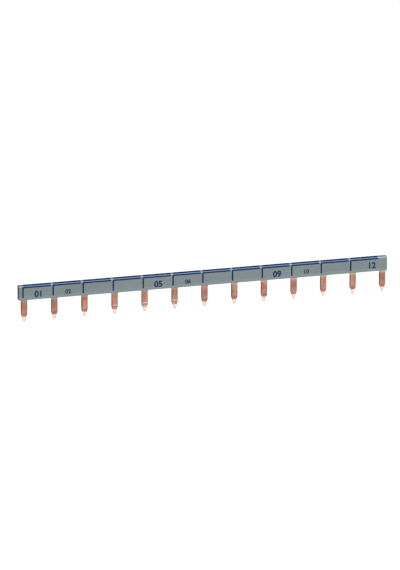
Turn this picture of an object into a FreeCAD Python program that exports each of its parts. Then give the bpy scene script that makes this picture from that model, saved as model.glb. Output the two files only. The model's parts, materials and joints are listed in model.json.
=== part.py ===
import FreeCAD, Part
import math
import os
import re
from collections import namedtuple
from enum import IntEnum

import Sketcher

# Comb busbar for one pole: a stamped copper comb in an extruded insulating profile that is open below.
# Millimetres. X runs along the bar, -Y is the printed front, +Z is up and the prongs point down.
# The origin is at the middle of the row of prongs, half way through the copper, level with the profile's underside.

SIZES = {
    # the row of prongs
    "module_pitch": 17.8,
    "prong_count": 13,
    # the copper strip that joins the prongs
    "strip_thickness": 1.5,
    "strip_depth": 6.8,
    "strip_end_reach": 2.25,
    # one prong, from the underside of the profile down
    "collar_overhang": 0.3,
    "collar_drop": 0.35,
    "collar_slope_drop": 0.45,
    "collar_radius": 0.5,
    "prong_width": 3.65,
    "prong_edge_radius": 0.35,
    "shoulder_drop": 8.95,
    "shoulder_height": 1.0,
    "shoulder_radius": 0.8,
    "step_above_shoulder": 1.5,
    "step_height": 0.3,
    "step_depth": 0.14,
    "tongue_root_width": 2.3,
    "tongue_root_radius": 0.4,
    "tongue_length": 2.85,
    "tongue_tip_width": 1.35,
    "tongue_tip_radius": 0.5,
    "tongue_tip_thickness": 0.5,
    # the extruded profile
    "side_wall": 0.7,
    "top_wall": 1.0,
    "side_clearance": 0.1,
    "top_clearance": 0.2,
    "mouth_recess": 0.5,
    "mouth_lead_in": 0.15,
    "lip_rise": 0.8,
    "lip_edge_radius": 0.25,
    "rib_below_strip_top": 1.3,
    "rib_rise": 0.5,
    "grip_ramp": 0.15,
    "left_overhang": 3.4,
    "right_overhang": 2.5,
    "top_front_radius": 0.8,
    "top_rear_radius": 0.3,
    # the printed marking
    "ink_thickness": 0.05,
    "print_pitch": 17.73,
    "mark_before_prong": 1.37,
    "tick_width": 0.85,
    "tick_foot_rise": 1.4,
    "stripe_length": 16.85,
    "stripe_below_rounding": 0.55,
    "stripe_before_rear_rounding": 0.2,
}

SHEET_NAME = "Sizes"
PARTS_FOLDER = "parts"
UP = FreeCAD.Vector(0, 0, 1)


class EdgeEnd(IntEnum):
    """The ends of a sketch's edge, as its constraints name them."""

    START = 1
    END = 2


START, END = EdgeEnd
ORIGIN_POINT = (-1, START)

# Lengths that several features share, in the sheet's own names.
PROFILE_THICKNESS = "(strip_thickness + 2 * side_clearance + 2 * side_wall)"
STRIP_TOP = "(mouth_recess + strip_depth)"
PROFILE_HEIGHT = f"({STRIP_TOP} + top_clearance + top_wall)"
END_PRONG_REACH = "((prong_count - 1) * module_pitch / 2)"
COLLAR_WIDTH = "(prong_width + 2 * collar_overhang)"
COLLAR_END_DROP = "(collar_drop + collar_slope_drop)"
TONGUE_ROOT_DROP = "(shoulder_drop + shoulder_height)"
PRONG_DROP = f"({TONGUE_ROOT_DROP} + tongue_length)"

# A corner of an outline: two formulas from the sketch's origin, and a third where the corner is rounded.
Corner = namedtuple("Corner", "across up radius", defaults=("0",))

doc = FreeCAD.newDocument("comb_busbar")
sheet = doc.addObject("Spreadsheet::Sheet", SHEET_NAME)
for row, (alias, number) in enumerate(SIZES.items(), start=1):
    sheet.set(f"A{row}", alias)
    sheet.set(f"B{row}", str(number))
    sheet.setAlias(f"B{row}", alias)
doc.recompute()


def bound(formula):
    """The formula with the sheet's name before each size, as setExpression takes it."""
    return re.sub(r"[a-z_]+", lambda size: f"{SHEET_NAME}.{size.group()}", formula)


def number_of(formula):
    """What the formula gives with the sheet's present numbers."""
    return float(sheet.evalExpression(bound(formula)))


def new_body(label):
    """A body whose label is its node's name."""
    body = doc.addObject("PartDesign::Body", label)
    body.Label = label
    body.Placement = FreeCAD.Placement()
    return body


def origin_part(body, role):
    """One of the body's own origin planes or axes."""
    return next(part for part in body.Origin.OriginFeatures if part.Role == role)


def new_sketch(body, name, plane_role, along_normal="", along_x=""):
    """A sketch on an origin plane of the body, moved by formulas along its normal or its own X."""
    sketch = body.newObject("Sketcher::SketchObject", name)
    sketch.AttachmentSupport = (origin_part(body, plane_role), [""])
    sketch.MapMode = "FlatFace"
    if along_normal:
        sketch.setExpression("AttachmentOffset.Base.z", bound(along_normal))
    if along_x:
        sketch.setExpression("AttachmentOffset.Base.x", bound(along_x))
    return sketch


def constrain(sketch, kind, *where, formula):
    """A dimension of the sketch that follows a formula."""
    index = sketch.addConstraint(Sketcher.Constraint(kind, *where, number_of(formula)))
    sketch.setExpression(f"Constraints[{index}]", bound(formula))


def fix_point(sketch, geometry, end, corner):
    """Holds a point, or one end of an edge, at the corner's formulas."""
    constrain(sketch, "DistanceX", *ORIGIN_POINT, geometry, end, formula=corner.across)
    constrain(sketch, "DistanceY", *ORIGIN_POINT, geometry, end, formula=corner.up)


def round_corner(sketch, corner, place, entry, leave, edge_in, edge_out):
    """An arc from the end of one edge to the start of the next, tangent to both. The sharp corner stays as a point."""
    radius = number_of(corner.radius)
    way_in = (place - entry).normalize()
    turns_left = way_in.cross(leave - place).z > 0
    side = UP.cross(way_in) if turns_left else way_in.cross(UP)
    circle = Part.Circle(entry + side * radius, UP, radius)
    first, last = (entry, leave) if turns_left else (leave, entry)
    arc = sketch.addGeometry(Part.ArcOfCircle(circle, circle.parameter(first), circle.parameter(last)))
    arc_in, arc_out = (START, END) if turns_left else (END, START)
    sketch.addConstraint(Sketcher.Constraint("Tangent", edge_in, END, arc, arc_in))
    sketch.addConstraint(Sketcher.Constraint("Tangent", edge_out, START, arc, arc_out))
    constrain(sketch, "Radius", arc, formula=corner.radius)
    sharp = sketch.addGeometry(Part.Point(place), True)
    sketch.addConstraint(Sketcher.Constraint("PointOnObject", sharp, START, edge_in))
    sketch.addConstraint(Sketcher.Constraint("PointOnObject", sharp, START, edge_out))
    fix_point(sketch, sharp, START, corner)


def add_outline(sketch, corners):
    """A closed outline of straight edges through the corners, with an arc at each corner that has a radius."""
    places = [FreeCAD.Vector(number_of(corner.across), number_of(corner.up), 0) for corner in corners]
    ways_out = [(end - start).normalize() for start, end in zip(places, places[1:] + places[:1])]
    ways_in = ways_out[-1:] + ways_out[:-1]
    trims = [
        number_of(corner.radius) * math.tan(way_in.getAngle(way_out) / 2)
        for corner, way_in, way_out in zip(corners, ways_in, ways_out)
    ]
    entries = [place - way * trim for place, way, trim in zip(places, ways_in, trims)]
    leaves = [place + way * trim for place, way, trim in zip(places, ways_out, trims)]
    edges = [
        sketch.addGeometry(Part.LineSegment(start, end))
        for start, end in zip(leaves, entries[1:] + entries[:1])
    ]
    for index, corner in enumerate(corners):
        edge_in, edge_out = edges[index - 1], edges[index]
        if trims[index]:
            round_corner(sketch, corner, places[index], entries[index], leaves[index], edge_in, edge_out)
        else:
            sketch.addConstraint(Sketcher.Constraint("Coincident", edge_in, END, edge_out, START))
            fix_point(sketch, edge_out, START, corner)


def mirrored(corners):
    """The mirror image of an outline's corners across the sketch's vertical axis."""
    return [Corner(f"-({corner.across})", corner.up, corner.radius) for corner in reversed(corners)]


def extrude(body, kind, name, sketch, length, symmetric=False, other_way=""):
    """A pad or pocket on the sketch: one way, evenly both ways, or by a second formula the other way."""
    feature = body.newObject(f"PartDesign::{kind}", name)
    feature.Profile = sketch
    feature.setExpression("Length", bound(length))
    if symmetric:
        feature.SideType = "Symmetric"
    if other_way:
        feature.SideType = "Two sides"
        feature.setExpression("Length2", bound(other_way))
    volume_before = body.Shape.Volume if kind == "Pocket" else 0.0
    doc.recompute()
    if kind == "Pocket" and not body.Shape.Volume < volume_before:
        raise RuntimeError(f"{name} cuts nothing")
    return feature


def repeat_along_x(body, name, features, count, spacing):
    """The features repeated in a row along X."""
    pattern = body.newObject("PartDesign::LinearPattern", name)
    pattern.Originals = features
    pattern.Direction = (origin_part(body, "X_Axis"), [""])
    pattern.Mode = "Spacing"
    pattern.setExpression("Offset", bound(spacing))
    pattern.setExpression("Occurrences", bound(count))
    body.Tip = pattern
    doc.recompute()
    return pattern


def make_insulating_profile():
    """The extruded channel: a rounded outer section, hollowed by a mouth between two lips, a chamber and two ribs."""
    body = new_body("insulating_profile")
    half_thickness = f"{PROFILE_THICKNESS} / 2"
    right_end = f"{END_PRONG_REACH} + right_overhang"
    left_end = f"{END_PRONG_REACH} + left_overhang"

    outer = new_sketch(body, "outer_section", "YZ_Plane")
    add_outline(outer, [
        Corner(f"-{half_thickness}", "0", "lip_edge_radius"),
        Corner(half_thickness, "0", "lip_edge_radius"),
        Corner(half_thickness, PROFILE_HEIGHT, "top_rear_radius"),
        Corner(f"-{half_thickness}", PROFILE_HEIGHT, "top_front_radius"),
    ])
    extrude(body, "Pad", "extrusion", outer, right_end, other_way=left_end)

    # The lips and the ribs touch the strip's faces and grip it. The chamber between them is clear of it.
    grip = "strip_thickness / 2"
    chamber = f"({grip} + side_clearance)"
    rib_foot = f"({STRIP_TOP} - rib_below_strip_top)"
    rib_face_top = f"({rib_foot} + grip_ramp + rib_rise)"
    half = [
        Corner(f"{grip} + mouth_lead_in", "0"),
        Corner(grip, "mouth_lead_in"),
        Corner(grip, "lip_rise"),
        Corner(chamber, "lip_rise + grip_ramp"),
        Corner(chamber, rib_foot),
        Corner(grip, f"{rib_foot} + grip_ramp"),
        Corner(grip, rib_face_top),
        Corner(chamber, f"{rib_face_top} + grip_ramp"),
        Corner(chamber, f"{STRIP_TOP} + top_clearance"),
    ]
    hollow = new_sketch(body, "hollow_section", "YZ_Plane")
    add_outline(hollow, half + mirrored(half))
    extrude(body, "Pocket", "hollow", hollow, right_end, other_way=left_end)
    return body


def make_copper_comb():
    """The strip, and one prong with its collar, coined edges and stepped nose, repeated at the module pitch."""
    body = new_body("copper_comb")
    first_prong = f"-{END_PRONG_REACH}"
    half_strip = f"{END_PRONG_REACH} + strip_end_reach"

    strip_outline = new_sketch(body, "strip_outline", "XZ_Plane")
    strip_end = [Corner(half_strip, "mouth_recess"), Corner(half_strip, STRIP_TOP)]
    add_outline(strip_outline, strip_end + mirrored(strip_end))
    extrude(body, "Pad", "strip", strip_outline, "strip_thickness", symmetric=True)

    # Seen from the front: a wide collar, straight flanks, cut shoulders and a narrow tongue.
    prong_outline = new_sketch(body, "prong_outline", "XZ_Plane", along_x=first_prong)
    flank = [
        Corner("tongue_tip_width / 2", f"-{PRONG_DROP}", "tongue_tip_radius"),
        Corner("tongue_root_width / 2", f"-{TONGUE_ROOT_DROP}", "tongue_root_radius"),
        Corner("prong_width / 2", "-shoulder_drop", "shoulder_radius"),
        Corner("prong_width / 2", f"-{COLLAR_END_DROP}", "collar_radius"),
        Corner(f"{COLLAR_WIDTH} / 2", "-collar_drop", "collar_radius"),
        Corner(f"{COLLAR_WIDTH} / 2", "mouth_recess + strip_depth / 2"),
    ]
    add_outline(prong_outline, flank + mirrored(flank))
    blank = extrude(body, "Pad", "prong", prong_outline, "strip_thickness", symmetric=True)

    # Seen from below: the coining leaves the section below the collar with four rounded edges.
    shank_section = new_sketch(
        body, "shank_section", "XY_Plane", along_normal=f"-{COLLAR_END_DROP}", along_x=first_prong)
    around = [Corner(f"{COLLAR_WIDTH} / 2", "-strip_thickness"), Corner(f"{COLLAR_WIDTH} / 2", "strip_thickness")]
    shank = [
        Corner("prong_width / 2", "-strip_thickness / 2", "prong_edge_radius"),
        Corner("prong_width / 2", "strip_thickness / 2", "prong_edge_radius"),
    ]
    add_outline(shank_section, around + mirrored(around))
    add_outline(shank_section, shank + mirrored(shank))
    coined_edges = extrude(body, "Pocket", "coined_edges", shank_section, PRONG_DROP)

    # Seen from the side: both faces step in above the shoulders, and the tongue is bevelled to a blunt tip.
    nose_section = new_sketch(body, "nose_section", "YZ_Plane", along_normal=first_prong)
    step_drop = "(shoulder_drop - step_above_shoulder)"
    step_face = "(strip_thickness / 2 - step_depth)"
    wedge = [
        Corner("strip_thickness", f"-{step_drop}"),
        Corner("strip_thickness / 2", f"-{step_drop}"),
        Corner(step_face, f"-({step_drop} + step_height)"),
        Corner(step_face, f"-{TONGUE_ROOT_DROP}"),
        Corner("tongue_tip_thickness / 2", f"-{PRONG_DROP}"),
        Corner("strip_thickness", f"-{PRONG_DROP}"),
    ]
    add_outline(nose_section, wedge)
    add_outline(nose_section, mirrored(wedge))
    nose = extrude(body, "Pocket", "nose", nose_section, COLLAR_WIDTH, symmetric=True)

    repeat_along_x(body, "prong_row", [blank, coined_edges, nose], "prong_count", "module_pitch")
    return body


def make_printed_marking():
    """Ink on the profile: a stripe that wraps over the rounded top edge and a tick down the front, for each module."""
    body = new_body("printed_marking")
    mark_start = f"-{END_PRONG_REACH} - mark_before_prong"
    front = f"-{PROFILE_THICKNESS} / 2"
    ink_front = f"({front} - ink_thickness)"
    stripe_foot = f"({PROFILE_HEIGHT} - top_front_radius - stripe_below_rounding)"
    back_edge = f"({PROFILE_THICKNESS} / 2 - top_rear_radius - stripe_before_rear_rounding)"

    stripe_section = new_sketch(body, "stripe_section", "YZ_Plane", along_normal=mark_start)
    add_outline(stripe_section, [
        Corner(front, stripe_foot),
        Corner(front, PROFILE_HEIGHT, "top_front_radius"),
        Corner(back_edge, PROFILE_HEIGHT),
        Corner(back_edge, f"{PROFILE_HEIGHT} + ink_thickness"),
        Corner(ink_front, f"{PROFILE_HEIGHT} + ink_thickness", "top_front_radius + ink_thickness"),
        Corner(ink_front, stripe_foot),
    ])
    stripe = extrude(body, "Pad", "stripe", stripe_section, "stripe_length")

    tick_section = new_sketch(body, "tick_section", "YZ_Plane", along_normal=mark_start)
    tick_top = f"{stripe_foot} + stripe_below_rounding / 2"
    add_outline(tick_section, [
        Corner(front, "tick_foot_rise"),
        Corner(front, tick_top),
        Corner(ink_front, tick_top),
        Corner(ink_front, "tick_foot_rise"),
    ])
    tick = extrude(body, "Pad", "tick", tick_section, "tick_width")

    repeat_along_x(body, "mark_row", [stripe, tick], "prong_count - 1", "print_pitch")
    return body


def check(body):
    """Stops the script where a feature failed or the shape isn't sound."""
    for item in [body, *body.Group]:
        if "Invalid" in item.State or "Error" in item.State:
            raise RuntimeError(f"{body.Label}: {item.Label} is {item.State}")
    if body.Shape.isNull() or not body.Shape.isValid():
        raise RuntimeError(f"{body.Label} isn't a valid shape")


bodies = [make_insulating_profile(), make_copper_comb(), make_printed_marking()]
doc.recompute()
for body in bodies:
    check(body)

os.makedirs(PARTS_FOLDER, exist_ok=True)
for body in bodies:
    body.Shape.exportStep(os.path.join(PARTS_FOLDER, f"{body.Label}.step"))
    box = body.Shape.BoundBox
    print(f"{body.Label}: {len(body.Shape.Solids)} solids, {body.Shape.Volume:.1f} mm3, "
          f"X {box.XMin:.2f} to {box.XMax:.2f}, Y {box.YMin:.2f} to {box.YMax:.2f}, "
          f"Z {box.ZMin:.2f} to {box.ZMax:.2f}")
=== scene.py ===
"""The comb busbar's looks: a grey extruded profile, a copper comb and blue printed marks, finely made."""

from __future__ import annotations

import json
import logging
import math
from collections.abc import Mapping, Sequence
from dataclasses import dataclass
from enum import Enum
from typing import Any

import bmesh
import bpy
import numpy as np
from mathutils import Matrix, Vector

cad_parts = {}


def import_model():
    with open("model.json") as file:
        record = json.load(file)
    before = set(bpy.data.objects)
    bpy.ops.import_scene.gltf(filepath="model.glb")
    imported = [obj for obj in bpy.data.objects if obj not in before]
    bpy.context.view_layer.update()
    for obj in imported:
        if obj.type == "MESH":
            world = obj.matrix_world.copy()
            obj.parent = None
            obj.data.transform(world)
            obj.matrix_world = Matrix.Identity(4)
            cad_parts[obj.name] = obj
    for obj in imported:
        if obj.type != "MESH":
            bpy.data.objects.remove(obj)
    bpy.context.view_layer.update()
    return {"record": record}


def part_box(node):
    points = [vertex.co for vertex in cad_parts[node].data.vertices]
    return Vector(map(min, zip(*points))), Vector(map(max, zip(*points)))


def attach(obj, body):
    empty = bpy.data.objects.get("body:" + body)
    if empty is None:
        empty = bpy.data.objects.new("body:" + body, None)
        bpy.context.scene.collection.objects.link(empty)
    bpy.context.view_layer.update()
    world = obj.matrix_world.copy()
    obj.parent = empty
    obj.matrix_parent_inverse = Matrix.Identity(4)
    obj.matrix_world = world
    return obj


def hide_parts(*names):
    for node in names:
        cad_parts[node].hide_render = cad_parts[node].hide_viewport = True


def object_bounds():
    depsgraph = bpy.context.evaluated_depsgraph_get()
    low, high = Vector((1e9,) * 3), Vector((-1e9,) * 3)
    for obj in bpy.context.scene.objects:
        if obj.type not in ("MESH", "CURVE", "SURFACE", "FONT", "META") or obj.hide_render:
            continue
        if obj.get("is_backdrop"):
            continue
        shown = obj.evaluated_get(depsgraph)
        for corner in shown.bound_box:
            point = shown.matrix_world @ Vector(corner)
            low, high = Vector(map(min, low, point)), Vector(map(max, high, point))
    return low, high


LOG = logging.getLogger("comb_busbar")
MM = 0.001
ROOT = "root"
Colour = tuple[float, float, float, float]
WHITE: Colour = (1.0, 1.0, 1.0, 1.0)

# How far beyond an arc one more point keeps a flat stretch flat where it is shaded.
MARGIN = 0.03 * MM
# Points nearer than this are one point.
MERGED = 0.0005 * MM
# An edge steeper than this is shaded sharp.
SHARP = math.radians(35.0)
# The size of a text, as a multiple of its figures' height.
TEXT_SIZE = 1.37
# The colour sockets of the Mix node, whose names its number sockets share.
MIX_FROM, MIX_TO, MIX_RESULT = 6, 7, 2


class Node(Enum):
    """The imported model's nodes that the fine pieces stand for."""

    PROFILE = "insulating_profile"
    COMB = "copper_comb"
    MARKING = "printed_marking"


class Slot(Enum):
    """The record's material slots."""

    PLASTIC = "grey_plastic"
    COPPER = "copper"
    INK = "blue_ink"


class Shader(Enum):
    """Node types that the finishes use."""

    PRINCIPLED = "ShaderNodeBsdfPrincipled"
    OUTPUT = "ShaderNodeOutputMaterial"
    COORDINATES = "ShaderNodeTexCoord"
    MAPPING = "ShaderNodeMapping"
    SEPARATE = "ShaderNodeSeparateXYZ"
    NOISE = "ShaderNodeTexNoise"
    RANGE = "ShaderNodeMapRange"
    MATH = "ShaderNodeMath"
    MIX = "ShaderNodeMix"
    BUMP = "ShaderNodeBump"
    DIFFUSE = "ShaderNodeBsdfDiffuse"
    EMISSION = "ShaderNodeEmission"
    MIX_SHADER = "ShaderNodeMixShader"
    ADD_SHADER = "ShaderNodeAddShader"
    LIGHT_PATH = "ShaderNodeLightPath"
    BACKGROUND = "ShaderNodeBackground"
    WORLD_OUTPUT = "ShaderNodeOutputWorld"


@dataclass(frozen=True)
class Value:
    """A number on a shader socket, which can be used in plain arithmetic.

    Attributes:
        graph: the node tree that it is worked out in.
        socket: the output that gives it.
    """

    graph: Graph
    socket: bpy.types.NodeSocket

    def __add__(self, other: Value | float) -> Value:
        """Sum."""
        return self.graph.math("ADD", self, other)

    __radd__ = __add__

    def __sub__(self, other: Value | float) -> Value:
        """Difference."""
        return self.graph.math("SUBTRACT", self, other)

    def __rsub__(self, other: float) -> Value:
        """Difference from a plain number."""
        return self.graph.math("SUBTRACT", other, self)

    def __mul__(self, other: Value | float) -> Value:
        """Product."""
        return self.graph.math("MULTIPLY", self, other)

    __rmul__ = __mul__

    def __truediv__(self, other: Value | float) -> Value:
        """Quotient."""
        return self.graph.math("DIVIDE", self, other)

    def __abs__(self) -> Value:
        """Size without its sign."""
        return self.graph.math("ABSOLUTE", self)


@dataclass(frozen=True)
class Band:
    """A soft border between two places or amounts.

    Attributes:
        off: where its mask is 0.
        full: where its mask is full. It lies above or below off.
        strength: the mask where it is full.
    """

    off: float
    full: float
    strength: float = 1.0

    def mask(self, amount: Value) -> Value:
        """A smooth step from 0 at off to the strength at full, level beyond them."""
        numbers = {"Value": amount, "From Min": self.off, "From Max": self.full, "To Max": self.strength}
        return amount.graph.value(Shader.RANGE, "Result", {"interpolation_type": "SMOOTHSTEP"}, numbers)


@dataclass(frozen=True)
class Pattern:
    """One kind of noise.

    Attributes:
        stretch: how many patches a metre it has along X, Y and Z.
        detail: how much finer noise is added.
    """

    stretch: tuple[float, float, float]
    detail: float = 2.0


class Graph:
    """The node tree of one material or world."""

    def __init__(self, tree: bpy.types.NodeTree) -> None:
        """Takes a tree and empties it."""
        self.tree = tree
        tree.nodes.clear()

    def node(
        self, kind: Shader, settings: Mapping[str, Any] | None = None,
        inputs: Mapping[str | int, Any] | None = None,
    ) -> bpy.types.Node:
        """Adds a node.

        Args:
            kind: the node's type.
            settings: the node's own properties, which are set first.
            inputs: a value or a link for each named or numbered socket.

        Returns:
            The new node.
        """
        made = self.tree.nodes.new(kind.value)
        for name, setting in (settings or {}).items():
            setattr(made, name, setting)
        for name, given in (inputs or {}).items():
            if isinstance(given, Value):
                given = given.socket
            if isinstance(given, bpy.types.NodeSocket):
                self.tree.links.new(given, made.inputs[name])
            else:
                made.inputs[name].default_value = given
        return made

    def value(
        self, kind: Shader, output: str | int, settings: Mapping[str, Any] | None = None,
        inputs: Mapping[str | int, Any] | None = None,
    ) -> Value:
        """Adds a node and gives one of its outputs, ready for arithmetic."""
        return Value(self, self.node(kind, settings, inputs).outputs[output])

    def math(self, operation: str, *numbers: Value | float) -> Value:
        """A Math node on values or plain numbers."""
        return self.value(Shader.MATH, 0, {"operation": operation}, dict(enumerate(numbers)))

    def mix(self, mask: Value, without: Colour | Value, fully: Colour | Value) -> Value:
        """A colour that goes from one to another as the mask goes from 0 to 1."""
        colours = {"Factor": mask, MIX_FROM: without, MIX_TO: fully}
        return self.value(Shader.MIX, MIX_RESULT, {"data_type": "RGBA", "clamp_factor": True}, colours)

    def places(self) -> Place:
        """Adds the object coordinates of the surface.

        Returns:
            The coordinates, whole and split into X, Y and Z.
        """
        whole = self.node(Shader.COORDINATES).outputs["Object"]
        split = self.node(Shader.SEPARATE, inputs={"Vector": whole})
        return Place(whole, *(Value(self, split.outputs[axis]) for axis in "XYZ"))

    def noise(self, place: Place, pattern: Pattern) -> Value:
        """Noise from 0 to 1.

        Args:
            place: where the surface is.
            pattern: which noise it is.

        Returns:
            The noise's value.
        """
        scaled = self.node(Shader.MAPPING, inputs={"Vector": place.whole, "Scale": pattern.stretch})
        numbers = {"Vector": scaled.outputs["Vector"], "Scale": 1.0, "Detail": pattern.detail}
        return self.value(Shader.NOISE, 0, {"noise_dimensions": "3D"}, numbers)

    def bump(self, height: Value, distance: float) -> bpy.types.NodeSocket:
        """A normal bent by a height from 0 to 1 that stands for a real distance in metres."""
        return self.node(Shader.BUMP, inputs={"Height": height, "Distance": distance}).outputs["Normal"]

    def seen(self) -> Value:
        """Tells a ray that shows a surface from one that lights it.

        Returns:
            1 for a ray from the camera, a mirrored one or one that comes through something, 0 for the rest.
        """
        path = self.node(Shader.LIGHT_PATH)
        kinds = ("Is Camera Ray", "Is Glossy Ray", "Is Transmission Ray")
        camera, glossy, through = (Value(self, path.outputs[kind]) for kind in kinds)
        return camera + glossy + through

    def surface(self, **inputs: Any) -> None:
        """Ends the tree with a principled surface.

        Args:
            inputs: a value or a link for each of its sockets, named with underscores for spaces.
        """
        named = {name.replace("_", " "): given for name, given in inputs.items()}
        shader = self.node(Shader.PRINCIPLED, inputs=named)
        self.node(Shader.OUTPUT, inputs={"Surface": shader.outputs["BSDF"]})


@dataclass(frozen=True)
class Place:
    """Where a point of the surface is, in the object's own coordinates.

    Attributes:
        whole: all three coordinates.
        x: along the bar.
        y: from front to back.
        z: the height.
    """

    whole: bpy.types.NodeSocket
    x: Value
    y: Value
    z: Value


def new_material(name: str) -> tuple[bpy.types.Material, Graph]:
    """Makes an empty node material.

    Args:
        name: the material's name.

    Returns:
        The material and its graph.
    """
    material = bpy.data.materials.new(name)
    material.use_nodes = True
    return material, Graph(material.node_tree)


def dress(piece: bpy.types.Object, material: bpy.types.Material) -> None:
    """Gives a piece one material."""
    piece.data.materials.clear()
    piece.data.materials.append(material)


@dataclass(frozen=True)
class ProngRow:
    """Where the prongs are along X, read from the gaps between them that the record states.

    Attributes:
        first: the first prong's middle.
        pitch: from one prong to the next.
        count: how many prongs there are.
    """

    first: float
    pitch: float
    count: int

    @classmethod
    def of(cls, record: Mapping[str, Any]) -> ProngRow:
        """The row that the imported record's openings stand between.

        Args:
            record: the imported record.

        Returns:
            The row, with half a pitch beyond the middle of the first and the last opening.
        """
        boxes = [opening["box_m"] for opening in record["physics"]["openings"]]
        middles = sorted((low[0] + high[0]) / 2 for low, high in boxes)
        pitch = (middles[-1] - middles[0]) / (len(middles) - 1)
        return cls(middles[0] - pitch / 2, pitch, len(middles) + 1)

    def middles(self) -> np.ndarray:
        """The middle of every prong."""
        return self.first + self.pitch * np.arange(self.count)

    def number(self, x: Value) -> Value:
        """Which prong an X belongs to, counted in pitches from the first, with fractions."""
        return (x - self.first) / self.pitch

    def across(self, x: Value) -> Value:
        """How far an X lies from the middle of its own prong, in metres."""
        part = x.graph.math("FRACT", self.number(x) + 0.5)
        return (part - 0.5) * self.pitch


@dataclass(frozen=True)
class Path:
    """A line of points in a plane, with the way that it faces at each of them.

    Attributes:
        points: the points, one a row.
        facing: the unit vector to the right of the way along the line, at each point.
    """

    points: np.ndarray
    facing: np.ndarray


def rounded(
    corners: Sequence[Sequence[float]], radii: Sequence[float], closed: bool, steps: int = 10
) -> Path:
    """A line through corners, each of which is turned into an arc.

    The arc at a corner begins radius * tan(turn / 2) before it, and its points are
    start + radius * (way_in * sin(angle) + inward * (1 - cos(angle))), as the angle goes from 0 to the turn.
    One more point on each side keeps the straight stretches straight where they are shaded.

    Args:
        corners: the corners in order, two numbers each.
        radii: the radius at each corner. An open line's two ends have none.
        closed: whether the line returns to its first corner.
        steps: how many pieces each arc is divided into.

    Returns:
        The rounded line.
    """
    places = np.asarray(corners, float)
    ways = np.roll(places, -1, axis=0) - places
    ways /= np.linalg.norm(ways, axis=1, keepdims=True)
    turned = np.arange(len(places)) if closed else np.arange(1, len(places) - 1)
    way_in, way_out = ways[turned - 1], ways[turned]
    radius = np.asarray(radii, float)[turned, None]
    turn = np.arccos(np.clip((way_in * way_out).sum(1, keepdims=True), -1.0, 1.0))
    inward = way_out - way_in * np.cos(turn)
    inward /= np.linalg.norm(inward, axis=1, keepdims=True)
    start = places[turned] - way_in * radius * np.tan(turn / 2)
    angle = (turn * np.linspace(0.0, 1.0, steps + 1))[..., None]
    along, across = way_in[:, None] * np.sin(angle), inward[:, None] * (1.0 - np.cos(angle))
    arc = start[:, None] + radius[..., None] * (along + across)
    heading = way_in[:, None] * np.cos(angle) + inward[:, None] * np.sin(angle)
    before, after = arc[:, :1] - way_in[:, None] * MARGIN, arc[:, -1:] + way_out[:, None] * MARGIN
    points = np.concatenate([before, arc, after], axis=1).reshape(-1, 2)
    headings = np.concatenate([way_in[:, None], heading, way_out[:, None]], axis=1).reshape(-1, 2)
    if not closed:
        points = np.vstack([places[:1], points, places[-1:]])
        headings = np.vstack([ways[:1], headings, ways[-2:-1]])
    return Path(points, np.column_stack([headings[:, 1], -headings[:, 0]]))


class Shell:
    """A closed surface in the making: grids and caps, joined where their points meet."""

    def __init__(self) -> None:
        """Starts with nothing."""
        self.points: list[np.ndarray] = []
        self.faces: list[list[int]] = []
        self.count = 0

    def _add(self, points: np.ndarray) -> np.ndarray:
        """Keeps points.

        Args:
            points: three coordinates each, in an array of any shape.

        Returns:
            The points' numbers, in the shape that the points came in.
        """
        numbers = self.count + np.arange(points[..., 0].size).reshape(points.shape[:-1])
        self.points.append(points.reshape(-1, 3))
        self.count += numbers.size
        return numbers

    def grid(self, points: np.ndarray, wraps: bool = False) -> None:
        """Adds a grid of four-sided faces.

        Args:
            points: the corners, as rows, columns and three coordinates.
            wraps: whether the last column is joined to the first.
        """
        number = self._add(points)
        if wraps:
            number = np.column_stack([number, number[:, :1]])
        corners = [number[:-1, :-1], number[:-1, 1:], number[1:, 1:], number[1:, :-1]]
        self.faces += np.stack(corners, axis=-1).reshape(-1, 4).tolist()

    def cap(self, points: np.ndarray) -> None:
        """Adds one flat face with these corners in order."""
        self.faces.append(self._add(points).tolist())

    def solid(self, points: np.ndarray, faces: Sequence[Sequence[int]]) -> None:
        """Adds a finished solid, with its own points and faces."""
        first = int(self._add(points)[0])
        self.faces += [[first + corner for corner in face] for face in faces]

    def tube(self, rings: np.ndarray) -> None:
        """Adds a surface through closed rings and caps the first and the last.

        Args:
            rings: the rings one after another, as rings, points and three coordinates.
        """
        self.grid(rings, wraps=True)
        self.cap(rings[0])
        self.cap(rings[-1])

    def film(self, outer: np.ndarray, inner: np.ndarray) -> None:
        """Adds a thin solid, closed all round its border.

        Args:
            outer: the grid of its upper side.
            inner: the grid of its lower side, which faces the other point by point.
        """
        self.grid(outer)
        self.grid(inner)
        for edge in (np.s_[0], np.s_[-1], np.s_[:, 0], np.s_[:, -1]):
            self.grid(np.stack([outer[edge], inner[edge]]))

    def piece(self, name: str) -> bpy.types.Object:
        """Makes the surface an object.

        Points that meet become one, faces are turned outwards, and only steep edges are shaded sharp.

        Args:
            name: the object's name.

        Returns:
            The object, which rides on the body that all the nodes belong to.
        """
        mesh = bpy.data.meshes.new(name)
        mesh.from_pydata(np.vstack(self.points).tolist(), [], self.faces)
        shape = bmesh.new()
        shape.from_mesh(mesh)
        bmesh.ops.remove_doubles(shape, verts=shape.verts, dist=MERGED)
        bmesh.ops.recalc_face_normals(shape, faces=shape.faces)
        shape.to_mesh(mesh)
        shape.free()
        mesh.polygons.foreach_set("use_smooth", np.ones(len(mesh.polygons), bool))
        mesh.set_sharp_from_angle(angle=SHARP)
        made = bpy.data.objects.new(name, mesh)
        bpy.context.scene.collection.objects.link(made)
        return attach(made, ROOT)


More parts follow.
